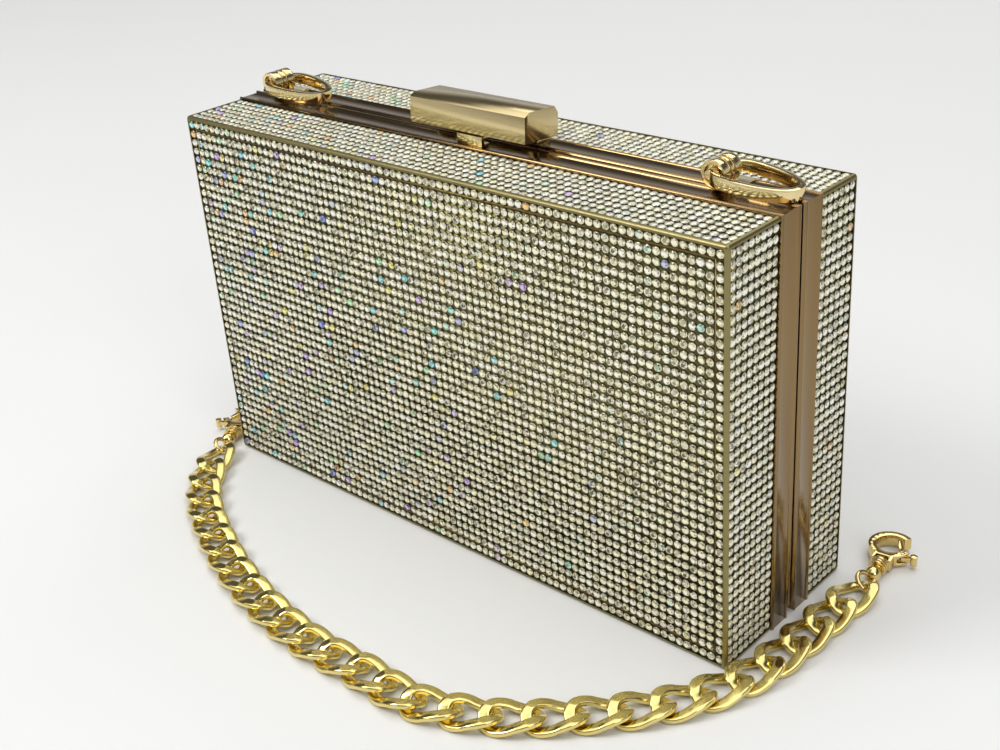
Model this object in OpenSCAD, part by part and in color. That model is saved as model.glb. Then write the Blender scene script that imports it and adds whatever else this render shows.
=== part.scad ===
// Hard rectangular evening bag: two stone-covered box halves in polished frame bands, hinged
// along the bottom, with a lift-up bar clasp, two flop rings and a loose curb chain handle.
// Millimetres. X runs along the bag, Y to its back, Z up. The origin is under the bag's middle.

/* [Bag] */
// Length of the bag over the stones
bag_w = 200; // [180:1:230]
// Height of the bag over the stones
bag_h = 118; // [100:1:140]
// Depth of the front half's stone-covered box
front_box_d = 21.5; // [18:0.5:28]
// Depth of the rear half's stone-covered box
rear_box_d = 17; // [16:0.5:28]

/* [Layers] */
// Thickness of the stones and the bed that holds them
stone_t = 1.9; // [1.6:0.1:2.4]
// Thickness of the brass shell
shell_t = 1; // [0.8:0.1:1.3]
// Thickness of the lining on its card
lining_t = 1; // [0.8:0.1:1.3]

/* [Frame] */
// Width of each frame band
band_w = 9.2; // [8.8:0.2:12]
// Gap between the two bands
seam_gap = 0.8; // [0.3:0.1:1]
// Radius of the bead beside the seam
seam_bead_r = 1; // [0.8:0.1:1.2]
// Height of the seam bead above the band
bead_rise = 0.5; // [0.3:0.1:0.7]
// Radius of the bead beside the stones
edge_bead_r = 0.6; // [0.4:0.1:0.7]
// Height of the edge bead above the band
edge_rise = 0.3; // [0.2:0.1:0.3]
// Flat land between each bead and the edge that it follows
bead_land = 0.1; // [0.05:0.05:0.3]
// Reach of the tongue from each band into its shell
tongue_d = 4; // [3:0.5:6]
// Thickness of each band's bottom bar
sill_t = 2; // [1.8:0.1:2.4]
// Thickness of the lip that closes the seam from inside
lip_t = 0.8; // [0.6:0.1:1]
// Reach of the lip past the seam
lip_reach = 1.6; // [1:0.1:2]
// Grip of the lip along the rear band
lip_grip = 6; // [4:0.5:7]
// Height above the floor at which the lip's sides end
lip_foot = 6; // [5:0.5:12]
// Clearance between the lip and the front band
lip_play = 0.3; // [0.2:0.05:0.4]

/* [Hinge] */
// Length of the hinge
hinge_len = 120; // [80:5:150]
// Number of knuckles
knuckle_count = 7; // [3:2:11]
// Outer radius of a knuckle
knuckle_r = 1.6; // [1.5:0.05:1.7]
// Gap between neighbouring knuckles
knuckle_gap = 0.3; // [0.2:0.05:0.4]
// Height of the knuckles above the floor
knuckle_lift = 0.2; // [0.15:0.05:0.3]
// Radius of the hinge pin
hinge_pin_r = 0.6; // [0.5:0.05:0.7]
// Radial running clearance round the hinge pin
hinge_play = 0.05; // [0.03:0.01:0.08]
// Room that the turning sill needs beside the axis
swing_room = 0.3; // [0.25:0.05:0.5]
// Thickness of a hinge leaf
leaf_t = 1; // [0.8:0.1:1.2]
// Reach of a leaf from the hinge axis
leaf_reach = 7.5; // [6:0.25:8]
// Number of rivets in each leaf
rivet_count = 5; // [3:1:8]
// Radius of a rivet's shank
rivet_r = 0.9; // [0.7:0.05:1]
// Radius of a rivet's head
rivet_head_r = 1.6; // [1.4:0.1:1.8]
// Thickness of a rivet's head
rivet_head_t = 0.6; // [0.4:0.1:0.8]
// Floor left under each blind rivet hole
rivet_floor = 0.4; // [0.3:0.1:0.6]
// Radial clearance of a fixed pin or rivet
fixed_play = 0.03; // [0.02:0.01:0.05]

/* [Clasp] */
// Length of the clasp bar
bar_w = 43; // [36:1:60]
// Depth of the clasp bar, front to back
bar_d = 13.4; // [12:0.2:15]
// Height of the clasp bar
bar_t = 8.2; // [7.4:0.2:10]
// Chamfer along the bar's top front edge, measured back
bar_front_cut_d = 1.8; // [1:0.1:2.4]
// Chamfer along the bar's top front edge, measured down
bar_front_cut_h = 1.1; // [0.6:0.1:1.6]
// Chamfer along the bar's top rear edge, measured forward
bar_rear_cut_d = 1.5; // [1:0.1:2]
// Chamfer along the bar's top rear edge, measured down
bar_rear_cut_h = 1.9; // [1:0.1:2.2]
// Wall of the bar at its ends and front
bar_wall = 1.6; // [1.2:0.1:2]
// Wall of the bar at its top
bar_roof = 1.6; // [1.2:0.1:2]
// Wall of the bar at its rear
bar_back_wall = 0.8; // [0.7:0.1:1]
// Distance from the clasp pin to the bar's rear face
bar_pin_back = 2.5; // [2.5:0.1:3]
// Distance from the clasp pin to the bar's underside
bar_pin_up = 2.3; // [2:0.1:2.6]
// Upward tilt of the bar's front when it is shut, in degrees
bar_tilt = 4.5; // [0:0.5:6]
// Distance from the seam back to the clasp pin
clasp_pin_set = 2.3; // [2.1:0.1:3]
// Height of the clasp pin above the band
clasp_pin_h = 5.6; // [5.2:0.1:7]
// Radius of the clasp pin
clasp_pin_r = 0.7; // [0.6:0.05:0.7]
// Depth of the blind pin holes in the bar's end walls
clasp_pin_seat = 1; // [0.6:0.1:1]
// Distance from the bag's middle to the middle of each bracket ear
ear_x = 14; // [10:0.5:16]
// Thickness of a bracket ear
ear_t = 2; // [1.5:0.1:3]
// Radius of a bracket ear round the pin
ear_r = 1.5; // [1.4:0.05:1.5]
// Side clearance of an ear in its slot
ear_play = 0.35; // [0.3:0.05:0.6]
// Thickness of the bracket's plate
bracket_t = 1; // [0.8:0.1:1.2]
// Length of the strike tab
tab_w = 9.4; // [7:0.2:12]
// Thickness of the strike tab
tab_t = 1.2; // [0.8:0.1:1.5]
// Height of the strike tab above the band
tab_h = 3.2; // [2.4:0.1:3.2]
// Reach of the tab's foot and of its catch, front to back
tab_foot_d = 3.2; // [2.4:0.1:3.6]
// Coils of the clasp spring
spring_turns = 6; // [3:1:8]
// Diameter of the clasp spring's wire
spring_wire = 0.45; // [0.4:0.05:0.45]
// Radial gap between the clasp pin and the spring
spring_play = 0.25; // [0.25:0.05:0.3]
// Pitch of the clasp spring's coils
spring_pitch = 1.1; // [1:0.05:1.4]
// Length of each spring leg
spring_leg = 4; // [3:0.5:5]

/* [Rings] */
// Distance from the bag's left end to the middle of the left ring's tube
left_lug_in = 9; // [9:1:30]
// Distance from the bag's right end to the middle of the right ring's tube
right_lug_in = 23; // [22:1:40]
// Distance from the seam back to the middle of each tube
lug_back = 0.4; // [0:0.1:1]
// Outer radius of a tube
lug_r = 3.5; // [3.2:0.1:4]
// Length of a tube
lug_len = 7.6; // [7:0.2:9]
// Gap between a tube and the top of the seam bead
lug_lift = 0.3; // [0.2:0.1:0.6]
// Width of the grooves round a tube
lug_groove_w = 0.6; // [0.4:0.1:0.8]
// Depth of the grooves round a tube
lug_groove_d = 0.4; // [0.2:0.1:0.6]
// Radius of the flared mouth of a tube
lug_mouth_r = 2.5; // [2.2:0.1:2.7]
// Depth of the flared mouth of a tube
lug_mouth_d = 1.3; // [0.8:0.1:1.6]
// Length of a lug's foot along the bag
lug_foot_w = 10.4; // [8:0.2:12]
// Thickness of a lug's foot
lug_foot_t = 0.9; // [0.7:0.1:1.2]
// Length of a lug's neck along the bag
lug_neck_w = 4.8; // [4:0.2:6]
// Reach of a ring from its tube to its tip
ring_len = 22.5; // [18:0.5:26]
// Width of a ring over its arms
ring_w = 16; // [14.5:0.5:17]
// Thickness of a ring's band
ring_t = 1.8; // [1.4:0.1:2.2]
// Height of a ring's band
ring_h = 3; // [2.4:0.1:3.2]
// Radius of a ring's bar inside its tube
ring_bar_r = 1.4; // [1.2:0.05:1.6]
// Radial running clearance of a ring's bar
ring_play = 0.06; // [0.03:0.01:0.09]
// Gap between a ring's arms and the ends of its tube
ring_end_gap = 0.6; // [0.4:0.1:0.9]
// Gap under a ring where it rests
ring_rest_gap = 0.3; // [0.2:0.1:0.5]

/* [Chain] */
// Clear width inside a link
link_inner_w = 6; // [5.8:0.1:6.4]
// Width of a link's flattened wire
link_wire_w = 2.8; // [2.6:0.1:2.8]
// Height of a link's flattened wire
link_wire_h = 1.8; // [1.6:0.1:1.8]
// Slack between two links along the chain
link_slack = 0.8; // [0.7:0.05:0.9]
// Vertical gap between two links where they cross
link_cross_gap = 0.9; // [0.9:0.05:1]
// Gap between the chain and the floor
floor_gap = 0.02; // [0.01:0.01:0.05]

/* [Hooks] */
// Radius of a swivel ring to the middle of its wire
eye_ring_r = 3.1; // [3:0.05:3.2]
// Radius of a swivel ring's wire
eye_wire_r = 0.7; // [0.65:0.05:0.7]
// Lean of a swivel ring from flat, in degrees
eye_lean = 38; // [34:1:38]
// Turn of the left hook from the line of its link, in degrees
left_hook_turn = 0; // [-5:1:10]
// Turn of the right hook from the line of its link, in degrees
right_hook_turn = 12; // [0:1:12]
// Gap between a swivel ring and the link through it
eye_gap = 0.6; // [0.5:0.05:0.7]
// Radius of a swivel's ball
ball_r = 2.3; // [2:0.1:2.5]
// Radius of a swivel's post
post_r = 1; // [0.8:0.05:1.1]
// Radial running clearance of a swivel's post
post_play = 0.05; // [0.03:0.01:0.08]
// Gap along the post between the ball and the hook
post_gap = 0.3; // [0.2:0.05:0.4]
// Radius of a hook's barrel
barrel_r = 2.5; // [2.3:0.05:2.6]
// Length of a hook's barrel
barrel_len = 3.4; // [3:0.1:5]
// Depth of the ridges round a hook's barrel
barrel_groove_d = 0.35; // [0.2:0.05:0.5]
// Length of the window that shows the post's head
window_len = 1.8; // [1.6:0.1:2.4]
// Width of the window that shows the post's head
window_w = 3.9; // [3.7:0.1:4.2]
// Radius of the post's head
head_r = 1.6; // [1.4:0.05:1.6]
// Thickness of the post's head
head_t = 0.9; // [0.7:0.1:1]
// Width of a hook's yoke beside the window
yoke_w = 5.8; // [5.6:0.1:6.4]
// Outer radius of a hook
hook_r = 6.4; // [6.2:0.1:6.6]
// Radius of the space inside a hook
hook_hole_r = 4.3; // [4.2:0.1:4.4]
// Thickness of a hook
hook_t = 3.4; // [3:0.1:3.6]
// Width of a hook's gate
gate_w = 1.3; // [1.1:0.1:1.4]
// Thickness of a gate inside the hook's fork
gate_root_t = 1.3; // [1.1:0.1:1.4]
// Thickness of a gate outside the hook's fork
gate_t = 3; // [2.4:0.1:3]
// Side clearance of a gate in the fork
fork_play = 0.3; // [0.25:0.05:0.35]
// Radius of a gate's pin
gate_pin_r = 0.5; // [0.4:0.05:0.6]
// Radial running clearance round a gate's pin
gate_play = 0.05; // [0.03:0.01:0.08]
// Radius of a gate's thumb knob
knob_r = 1; // [0.8:0.1:1.1]
// Distance from the gate's pin to its thumb knob
knob_reach = 3.2; // [3.2:0.1:3.4]

/* [Hidden] */
$fn = 48;
// Overrun of a cut past the face it opens
cut = 1;
link_count = 28;
// Length of the chain, as a share of the bag's length
chain_share = 1.512;
link_rings = 24;
link_turn = 360 / link_rings;
// Powers that shape a link: squarer at its ends and sides, and flat between its crossings
link_end_power = 0.85;
link_side_power = 0.9;
link_twist_power = 0.7;
wire_sides = 6;
coil_rings = 8;
ring_points = 48;
route_steps = 12;

bag_d = front_box_d + 2 * band_w + rear_box_d;
y_front = -bag_d / 2;
y_front_band = y_front + front_box_d;
y_seam = y_front_band + band_w;
y_rear_band = y_seam + band_w;
y_rear = bag_d / 2;

wall_t = stone_t + shell_t + lining_t;
tongue_inset = stone_t + shell_t;
seam_bead_end = seam_gap / 2 + bead_land + 2 * seam_bead_r;
edge_bead_end = band_w - bead_land - 2 * edge_bead_r;
band_top = bag_h + bead_rise;
// Room left between a bead and a foot that stands beside it
bead_room = bead_land;

hinge_z = knuckle_lift + knuckle_r;
sill_gap = hinge_z + swing_room;
knuckle_len = (hinge_len - (knuckle_count - 1) * knuckle_gap) / knuckle_count;
knuckle_room = knuckle_r + swing_room;
rivet_step = hinge_len / rivet_count;
rivet_y = (sill_gap + leaf_reach) / 2;
rivet_places = [for (i = [0 : rivet_count - 1]) (i - (rivet_count - 1) / 2) * rivet_step];
pin_head_t = rivet_head_t;
pin_head_r = knuckle_r - hinge_play - swing_room;

clasp_pin_y = y_seam + clasp_pin_set;
clasp_pin_z = bag_h + clasp_pin_h;
bar_front = bar_pin_back - bar_d;
bar_top = bar_t - bar_pin_up;
// Angle at which an ear's straight sides meet its round end
ear_angle = 30;
clasp_pin_len = bar_w - 2 * bar_wall + 2 * (clasp_pin_seat - fixed_play);
coil_r = clasp_pin_r + spring_play + spring_wire / 2;

left_lug_x = left_lug_in - bag_w / 2;
right_lug_x = bag_w / 2 - right_lug_in;
lug_y = y_seam + lug_back;
lug_z = band_top + lug_lift + lug_r;
lug_bore_r = ring_bar_r + ring_play;
lug_neck_sink = lug_r - lug_mouth_r - bead_land;
ring_bar_half = lug_len / 2 + ring_end_gap;
// How far the gap in a ring's band reaches past the bar's middle
ring_gap_end = 1.3 * ring_t;
// Powers that shape a ring's outline: squarer at the bar, slimmer at the tip
ring_bar_power = 0.6;
ring_tip_power = 1.15;
ring_side_power = 0.85;
ring_droop = asin((lug_r + lug_lift - ring_h / 2 - ring_rest_gap) / ring_len);

link_pitch = chain_share * bag_w / link_count;
link_inner_len = link_pitch + link_slack;
// Middle line of a link: half its length, half its width and its rise at the crossings
link_a = (link_inner_len + link_wire_w) / 2;
link_b = (link_inner_w + link_wire_w) / 2;
link_c = (link_wire_h + link_cross_gap) / 2;
chain_z = link_c + link_wire_h / 2 + floor_gap;
// Corners of the flattened wire, as shares of its width and height
wire_shares = [[0.5, 0.22], [0.27, 0.5], [-0.27, 0.5], [-0.5, 0.22],
               [-0.5, -0.22], [-0.27, -0.5], [0.27, -0.5], [0.5, -0.22]];
// Line of the chain on the floor, from the middle of the bag's front face, as shares of its length
route_shares = [[-0.502, -0.043], [-0.458, -0.108], [-0.39, -0.166], [-0.3, -0.213],
                [-0.2, -0.254], [-0.1, -0.282], [0, -0.298], [0.08, -0.3], [0.14, -0.296],
                [0.19, -0.301], [0.245, -0.294], [0.335, -0.254], [0.415, -0.187],
                [0.488, -0.105], [0.534, -0.01], [0.547, 0.092], [0.55, 0.172], [0.555, 0.242],
                [0.562, 0.322], [0.58, 0.462]];

// Height of the hooks' axis, so that the swivel ring and the barrel lie on the floor
hook_z = max(eye_ring_r * sin(eye_lean) + eye_wire_r, barrel_r) + floor_gap;
// Places along a hook, measured out from the end of the chain
eye_out = eye_ring_r - eye_wire_r - eye_gap + link_slack / 2;
ball_out = eye_out + eye_ring_r + eye_wire_r + ball_r / 4;
barrel_out = ball_out + ball_r + post_gap;
window_out = barrel_out + barrel_len;
hook_out = window_out + window_len + hook_r;
hook_mid_r = (hook_r + hook_hole_r) / 2;
// Angles round a hook's middle: the nose, the mouth's other edge and the gate's pin
nose_angle = 40;
mouth_angle = 110;
gate_pin_angle = 125;
knob_angle = 85;
fork_r = hook_mid_r - hook_hole_r + gate_w;
gate_pin_u = hook_mid_r * cos(gate_pin_angle);
gate_pin_v = hook_mid_r * sin(gate_pin_angle);
// End of the gate behind the nose, as shares of the hook's inner radius
gate_end_shares = [0.64, 0.38];

function two_digits(n) = n < 10 ? str("0", n) : str(n);
link_names = [for (i = [1 : link_count]) str("chain_link_", two_digits(i))];

// A block that is centred on X, between two heights and two depths
module block(half_w, z_low, z_high, y_a, y_b) {
    translate([-half_w, min(y_a, y_b), z_low])
        cube([2 * half_w, abs(y_b - y_a), z_high - z_low]);
}

// A box with one open side: side is 1 where it opens to the back and -1 to the front
module tray(inset, wall, y_closed, y_open, side) {
    inner = inset + wall;
    difference() {
        block(bag_w / 2 - inset, inset, bag_h - inset, y_closed + side * inset, y_open);
        block(bag_w / 2 - inner, inner, bag_h - inner, y_closed + side * inner, y_open + side * cut);
    }
}

// A rectangular ring round the bag, between two depths
module rim(inset, wall, y_a, y_b) {
    inner = inset + wall;
    difference() {
        block(bag_w / 2 - inset, inset, bag_h - inset, y_a, y_b);
        block(bag_w / 2 - inner, inner, bag_h - inner, min(y_a, y_b) - cut, max(y_a, y_b) + cut);
    }
}

// The two beads along one edge of a band, as a profile: x is the distance from the seam
module bead_circles(height) {
    translate([seam_gap / 2 + bead_land + seam_bead_r, height + bead_rise - seam_bead_r])
        circle(r = seam_bead_r);
    translate([band_w - bead_land - edge_bead_r, height + edge_rise - edge_bead_r])
        circle(r = edge_bead_r);
}

// A band of the frame behind the seam plane, with mitred corners and a sill cut back at the hinge
module band(wall) {
    side_reach = bag_w / 2 + bead_rise;
    difference() {
        intersection() {
            rotate([90, 0, 90])
                translate([0, 0, -side_reach])
                    linear_extrude(2 * side_reach) {
                        translate([seam_gap / 2, 0])
                            square([band_w - seam_gap / 2, bag_h]);
                        bead_circles(bag_h);
                    }
            linear_extrude(bag_h + bead_rise)
                for (m = [0, 1])
                    mirror([m, 0])
                        rotate(90)
                            mirror([0, 1]) {
                                translate([seam_gap / 2, -cut])
                                    square([band_w - seam_gap / 2, bag_w / 2 + cut]);
                                bead_circles(bag_w / 2);
                            }
        }
        block(bag_w / 2 - wall, sill_t, bag_h - wall, -cut, band_w + cut);
        block(bag_w, -cut, wall_t, -cut, sill_gap);
        rivet_holes(rivet_floor, sill_t + cut);
    }
    rim_part = band_w - tongue_d / 4;
    rim(tongue_inset, lining_t, rim_part, band_w + tongue_d);
}

module rivet_holes(z_low, z_high) {
    for (x = rivet_places)
        translate([x, rivet_y, z_low])
            cylinder(r = rivet_r + fixed_play, h = z_high - z_low);
}

// Places what is drawn behind the seam plane on the rear half, or mirrored on the front half
module at_seam(rear) {
    translate([0, y_seam, 0])
        mirror([0, rear ? 0 : 1, 0])
            children();
}

module front_stone_cover() {
    color("#d9d6cc") tray(0, stone_t, y_front, y_front_band, 1);
}

module front_shell() {
    color("#a8925a") tray(stone_t, shell_t, y_front, y_front_band, 1);
}

module front_frame() {
    color("#c9a37c") at_seam(false) band(wall_t - lip_play);
}

module front_lining() {
    color("#8c7a5c") tray(tongue_inset, lining_t, y_front, y_front_band - tongue_d, 1);
}

module rear_stone_cover() {
    color("#d9d6cc") tray(0, stone_t, y_rear, y_rear_band, -1);
}

module rear_shell() {
    color("#a8925a") tray(stone_t, shell_t, y_rear, y_rear_band, -1);
}

module rear_frame() {
    color("#c9a37c") at_seam(true) band(wall_t);
}

module rear_lining() {
    color("#8c7a5c") tray(tongue_inset, lining_t, y_rear, y_rear_band + tongue_d, -1);
}

// A strip inside the rear band's top and sides that laps behind the front band
module closing_lip() {
    color("#b8935f")
        intersection() {
            rim(wall_t, lip_t, y_seam - lip_reach, y_seam + lip_grip);
            block(bag_w, lip_foot, bag_h, y_seam - bag_d, y_seam + bag_d);
        }
}

// Knuckles numbered from the left: even ones belong to the rear leaf, odd ones to the front
module knuckles(first, radius, length) {
    for (i = [first : 2 : knuckle_count - 1])
        translate([-hinge_len / 2 + i * (knuckle_len + knuckle_gap) + (knuckle_len - length) / 2,
                   0, hinge_z])
            rotate([0, 90, 0])
                cylinder(r = radius, h = length);
}

module hinge_leaf(first) {
    difference() {
        union() {
            block(hinge_len / 2, sill_t, sill_t + leaf_t, knuckle_room, leaf_reach);
            for (i = [first : 2 : knuckle_count - 1])
                translate([-hinge_len / 2 + i * (knuckle_len + knuckle_gap), 0, sill_t])
                    cube([knuckle_len, knuckle_room + leaf_t, leaf_t]);
            knuckles(first, knuckle_r, knuckle_len);
        }
        translate([-hinge_len / 2 - cut, 0, hinge_z])
            rotate([0, 90, 0])
                cylinder(r = hinge_pin_r + hinge_play, h = hinge_len + 2 * cut);
        rivet_holes(rivet_floor, sill_t + leaf_t + cut);
    }
}

module front_hinge_leaf() {
    color("#b8935f") at_seam(false) hinge_leaf(1);
}

module rear_hinge_leaf() {
    color("#b8935f") at_seam(true) hinge_leaf(0);
}

module rivets() {
    top = sill_t + leaf_t;
    for (x = rivet_places)
        translate([x, rivet_y, 0]) {
            translate([0, 0, rivet_floor + fixed_play])
                cylinder(r = rivet_r, h = top - rivet_floor);
            translate([0, 0, top])
                cylinder(r1 = rivet_head_r, r2 = rivet_r, h = rivet_head_t);
        }
}

module front_hinge_rivets() {
    color("#d8b06a") at_seam(false) rivets();
}

module rear_hinge_rivets() {
    color("#d8b06a") at_seam(true) rivets();
}

module hinge_pin() {
    color("#d0cabc")
        translate([0, y_seam, hinge_z])
            rotate([0, 90, 0]) {
                translate([0, 0, -hinge_len / 2 - pin_head_t])
                    cylinder(r = hinge_pin_r, h = hinge_len + 2 * pin_head_t);
                for (z = [-hinge_len / 2 - pin_head_t, hinge_len / 2])
                    translate([0, 0, z])
                        cylinder(r = pin_head_r, h = pin_head_t);
            }
}

// A bent tab on the front band, just behind its edge bead, with a catch under the bar
module strike_tab() {
    tab_front = y_seam - edge_bead_end + bead_room;
    color("#d8b06a") {
        block(tab_w / 2, bag_h, bag_h + tab_h, tab_front, tab_front + tab_t);
        block(tab_w / 2, bag_h, bag_h + lug_foot_t, tab_front, tab_front + tab_foot_d);
        block(tab_w / 2, bag_h + tab_h - tab_t, bag_h + tab_h, tab_front, tab_front + tab_foot_d);
    }
}

module bracket_ear() {
    base_z = bag_h + bracket_t - bead_land;
    base_front = y_seam + seam_bead_end + bead_room;
    rotate([90, 0, 90])
        translate([0, 0, -ear_t / 2])
            linear_extrude(ear_t) {
                translate([clasp_pin_y, clasp_pin_z])
                    circle(r = ear_r);
                polygon([[base_front, base_z], [base_front + 2 * ear_r, base_z],
                         [clasp_pin_y + ear_r * cos(ear_angle), clasp_pin_z + ear_r * sin(ear_angle)],
                         [clasp_pin_y - ear_r * cos(ear_angle), clasp_pin_z - ear_r * sin(ear_angle)]]);
            }
}

module clasp_bracket() {
    color("#c9a37c")
        difference() {
            union() {
                block(ear_x + ear_t, bag_h, bag_h + bracket_t,
                      y_seam + seam_bead_end + bead_room, y_seam + edge_bead_end - bead_room);
                for (x = [-ear_x, ear_x])
                    translate([x, 0, 0])
                        bracket_ear();
            }
            translate([-bar_w / 2, clasp_pin_y, clasp_pin_z])
                rotate([0, 90, 0])
                    cylinder(r = clasp_pin_r + fixed_play, h = bar_w);
        }
}

module clasp_pin() {
    color("#d0cabc")
        translate([-clasp_pin_len / 2, clasp_pin_y, clasp_pin_z])
            rotate([0, 90, 0])
                cylinder(r = clasp_pin_r, h = clasp_pin_len);
}

// The bar's profile round the clasp pin: x runs to the back and y runs up
module bar_profile() {
    polygon([[bar_front, -bar_pin_up], [bar_front, bar_top - bar_front_cut_h],
             [bar_front + bar_front_cut_d, bar_top], [bar_pin_back - bar_rear_cut_d, bar_top],
             [bar_pin_back, bar_top - bar_rear_cut_h], [bar_pin_back, -bar_pin_up]]);
}

module clasp_bar() {
    hollow_half = bar_w / 2 - bar_wall;
    hollow_back = bar_pin_back - bar_back_wall;
    slot_top = ear_r + ear_play;
    color("#cdb583")
        translate([0, clasp_pin_y, clasp_pin_z])
            rotate([-bar_tilt, 0, 0])
                difference() {
                    rotate([90, 0, 90])
                        translate([0, 0, -bar_w / 2])
                            linear_extrude(bar_w)
                                bar_profile();
                    block(hollow_half, -bar_pin_up - cut, bar_top - bar_roof,
                          bar_front + bar_wall, hollow_back);
                    for (x = [-ear_x, ear_x])
                        translate([x, 0, 0])
                            block(ear_t / 2 + ear_play, -bar_pin_up - cut, slot_top, 0,
                                  bar_pin_back + cut);
                    translate([-hollow_half - clasp_pin_seat, 0, 0])
                        rotate([0, 90, 0])
                            cylinder(r = clasp_pin_r + hinge_play,
                                     h = 2 * (hollow_half + clasp_pin_seat));
                }
}

// Joins a row of rings of points into a skin, closed on itself or capped at its ends
module skin(rings, closed) {
    n = len(rings);
    m = len(rings[0]);
    spans = closed ? n : n - 1;
    sides = [for (i = [0 : spans - 1], j = [0 : m - 1])
                 let (a = i * m + j, b = i * m + (j + 1) % m,
                      c = (i + 1) % n * m + (j + 1) % m, d = (i + 1) % n * m + j)
                     each [[a, c, b], [a, d, c]]];
    caps = closed ? [] : [[for (j = [0 : m - 1]) j], [for (j = [m - 1 : -1 : 0]) (n - 1) * m + j]];
    polyhedron([for (r = rings) each r], concat(sides, caps), convexity = 6);
}

// A point of the spring's middle line: a leg, the coils and a leg, with X along the pin
function coil_point(turn) = [(turn - spring_turns / 2) * spring_pitch,
                             coil_r * sin(360 * turn), coil_r * cos(360 * turn)];
function spring_line() = concat(
    [coil_point(0) - [0, spring_leg, 0]],
    [for (i = [0 : spring_turns * coil_rings]) coil_point(i / coil_rings)],
    [coil_point(spring_turns) - [0, spring_leg, 0]]);

module clasp_spring() {
    line = spring_line();
    last = len(line) - 1;
    rings = [for (i = [0 : last])
                 let (ahead = line[min(i + 1, last)] - line[max(i - 1, 0)],
                      along = ahead / norm(ahead),
                      across = cross(along, [1, 0, 0]) / norm(cross(along, [1, 0, 0])),
                      up = cross(across, along))
                     [for (k = [0 : wire_sides - 1])
                          let (t = 360 * k / wire_sides)
                              line[i] + spring_wire / 2 * (cos(t) * across + sin(t) * up)]];
    color("#b9b4a8")
        translate([0, clasp_pin_y, clasp_pin_z])
            skin(rings, false);
}

// A grooved tube on a foot on the rear band; the ring's bar runs through it
module ring_lug() {
    foot_front = seam_bead_end + bead_room;
    foot_back = edge_bead_end - bead_room;
    difference() {
        union() {
            translate([0, lug_back - lug_len / 2, lug_z])
                rotate([-90, 0, 0])
                    cylinder(r = lug_r, h = lug_len);
            block(lug_neck_w / 2, band_top + bead_land / 2, lug_z - lug_r + lug_neck_sink,
                  seam_gap, lug_back + lug_len / 2);
            block(lug_foot_w / 2, bag_h, bag_h + lug_foot_t, foot_front, foot_back);
        }
        translate([0, lug_back - lug_len / 2, lug_z])
            rotate([-90, 0, 0]) {
                translate([0, 0, -cut])
                    cylinder(r = lug_bore_r, h = lug_len + 2 * cut);
                translate([0, 0, -cut])
                    cylinder(r = lug_mouth_r, h = lug_mouth_d + cut);
                translate([0, 0, lug_len - lug_mouth_d])
                    cylinder(r = lug_mouth_r, h = lug_mouth_d + cut);
                for (z = [lug_len / 2 - 2 * lug_groove_w, lug_len / 2 + lug_groove_w])
                    translate([0, 0, z])
                        difference() {
                            cylinder(r = lug_r + lug_lift / 2, h = lug_groove_w);
                            cylinder(r = lug_r - lug_groove_d, h = lug_groove_w);
                        }
            }
    }
}

module left_ring_lug() {
    color("#d8b06a") translate([left_lug_x, y_seam, 0]) ring_lug();
}

module right_ring_lug() {
    color("#d8b06a") translate([right_lug_x, y_seam, 0]) ring_lug();
}

// Outline of a ring in its own plane, squarer at its bar and slimmer at its tip
function ring_outline(shrink) =
    let (half = ring_w / 2 - shrink, tip = ring_len - shrink, back = shrink - ring_t / 2,
         widest = ring_len / 3)
        [for (i = [0 : ring_points - 1])
             let (t = 360 * i / ring_points, c = cos(t), s = sin(t),
                  u = c >= 0 ? widest + (tip - widest) * pow(c, ring_tip_power)
                             : widest - (widest - back) * pow(-c, ring_bar_power))
                 [u, sign(s) * half * pow(abs(s), ring_side_power)]];

module flop_ring() {
    rotate([0, ring_droop, 0]) {
        difference() {
            translate([0, 0, -ring_h / 2])
                linear_extrude(ring_h)
                    polygon(ring_outline(0));
            translate([0, 0, -ring_h])
                linear_extrude(2 * ring_h)
                    polygon(ring_outline(ring_t));
            translate([-ring_t, -ring_bar_half, -ring_h])
                cube([ring_t + ring_gap_end, 2 * ring_bar_half, 2 * ring_h]);
        }
        rotate([-90, 0, 0])
            translate([0, 0, -ring_bar_half - ring_t / 2])
                cylinder(r = ring_bar_r, h = 2 * ring_bar_half + ring_t);
    }
}

module left_ring() {
    color("#d9b56c") translate([left_lug_x, lug_y, lug_z]) flop_ring();
}

module right_ring() {
    color("#d9b56c") translate([right_lug_x, lug_y, lug_z]) flop_ring();
}

// The chain's line as a smooth curve through its points
route = [for (p = route_shares) [0, y_front] + p * bag_w];
function curve(t) =
    let (last = len(route) - 1, i = min(floor(t), last - 1), u = t - i,
         a = route[max(i - 1, 0)], b = route[i], c = route[i + 1], d = route[min(i + 2, last)])
        (2 * b + (c - a) * u + (2 * a - 5 * b + 4 * c - d) * u * u
         + (3 * b - 3 * c + d - a) * u * u * u) / 2;
route_line = [for (k = [0 : route_steps * (len(route) - 1)]) curve(k / route_steps)];
route_run = [for (i = 0, s = 0; i < len(route_line);
                  s = s + (i + 1 < len(route_line) ? norm(route_line[i + 1] - route_line[i]) : 0),
                  i = i + 1) s];
route_x = [for (i = [0 : len(route_line) - 1]) [route_run[i], route_line[i][0]]];
route_y = [for (i = [0 : len(route_line) - 1]) [route_run[i], route_line[i][1]]];
function joint_at(k) = [lookup(k * link_pitch, route_x), lookup(k * link_pitch, route_y)];
function heading(a, b) = atan2(b[1] - a[1], b[0] - a[0]);

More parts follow.
